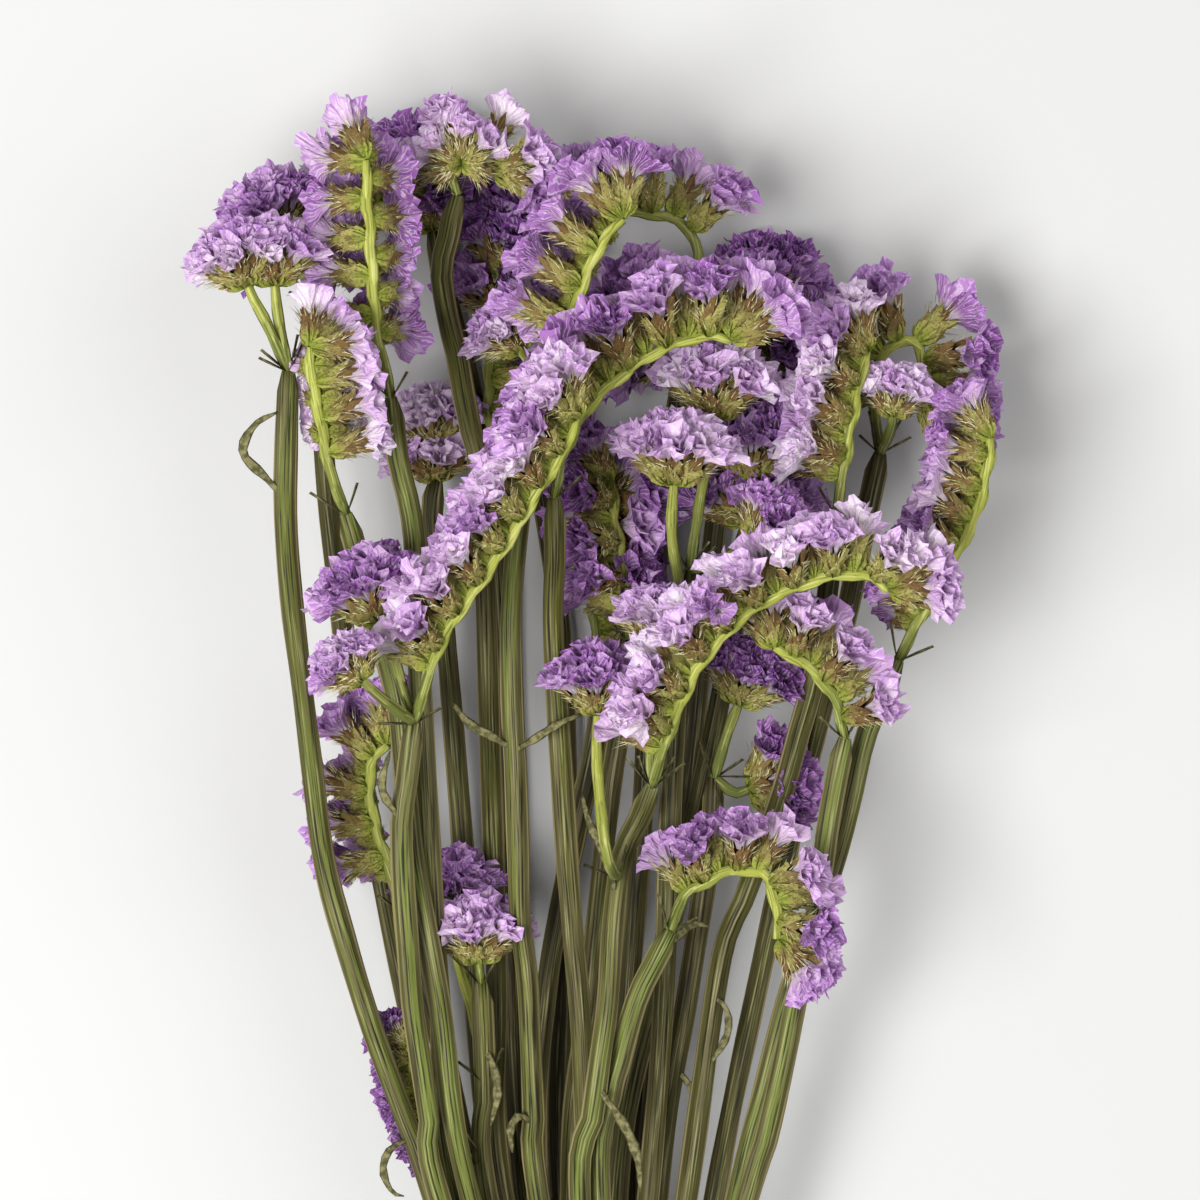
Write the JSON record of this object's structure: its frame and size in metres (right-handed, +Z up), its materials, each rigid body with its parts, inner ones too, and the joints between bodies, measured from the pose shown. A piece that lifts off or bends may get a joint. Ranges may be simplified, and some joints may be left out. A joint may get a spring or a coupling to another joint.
{
  "type": "dried statice bunch",
  "caption": "Cut and tied bunch of dried statice lying on a surface: winged olive stems with curved one-sided spikes of papery lilac and violet flowers.",
  "frame": {"origin": "middle of the flat underside of the tie, on the surface the bunch lies on", "axes": "+Y along the stems from the tie to the heads, +Z up from the surface, +X to the right seen from above with the heads away"},
  "size_m": [0.2059, 0.441, 0.1134],
  "materials": {
    "stem_green": "dry matt",
    "stem_olive": "dry matt",
    "calyx_lilac": "papery matt",
    "calyx_violet": "papery matt",
    "calyx_dusky": "papery matt",
    "tie_straw": "matt"
  },
  "bodies": {
    "root": {"back_centre_bloom": "calyx_violet", "back_hollow_bloom": "calyx_dusky", "back_inner_bloom": "calyx_violet", "back_left_bloom": "calyx_lilac", "back_low_bloom": "calyx_dusky", "back_middle_bloom": "calyx_dusky", "back_right_bloom": "calyx_dusky", "back_sprays": "stem_olive", "back_top_bloom": "calyx_dusky", "bright_bloom": "calyx_violet", "centre_bloom": "calyx_violet", "centre_left_bloom": "calyx_lilac", "centre_right_bloom": "calyx_violet", "centre_right_spray": "stem_olive", "centre_spray": "stem_green", "diagonal_bloom": "calyx_lilac", "diagonal_left_bloom": "calyx_violet", "diagonal_low_bloom": "calyx_lilac", "diagonal_spray": "stem_green", "far_left_bloom": "calyx_violet", "far_right_bloom": "calyx_violet", "far_right_spray": "stem_green", "inner_back_bloom": "calyx_dusky", "inner_bloom": "calyx_dusky", "inner_low_bloom": "calyx_dusky", "inner_right_bloom": "calyx_lilac", "inner_right_spray": "stem_olive", "inner_side_bloom": "calyx_dusky", "inner_sprays": "stem_olive", "left_arch_bloom": "calyx_lilac", "left_arch_spray": "stem_green", "left_front_bloom": "calyx_violet", "left_front_spray": "stem_green", "little_bloom": "calyx_dusky", "low_left_bloom": "calyx_violet", "low_left_spray": "stem_olive", "low_middle_back_bloom": "calyx_violet", "low_middle_bloom": "calyx_violet", "low_middle_spray": "stem_green", "low_right_bloom": "calyx_violet", "low_right_spray": "stem_green", "middle_low_bloom": "calyx_lilac", "middle_right_spray": "stem_olive", "middle_side_bloom": "calyx_violet", "middle_top_bloom": "calyx_lilac", "outer_left_bloom": "calyx_lilac", "outer_left_spray": "stem_green", "right_bloom": "calyx_lilac", "right_front_bloom": "calyx_lilac", "right_front_spray": "stem_green", "right_prong_bloom": "calyx_lilac", "right_small_bloom": "calyx_lilac", "right_spray": "stem_green", "tie": "tie_straw", "top_left_bloom": "calyx_lilac", "top_left_spray": "stem_olive", "top_middle_bloom": "calyx_lilac", "top_middle_spray": "stem_olive", "top_right_bloom": "calyx_violet", "top_right_spray": "stem_olive"}
  },
  "joints": []
}
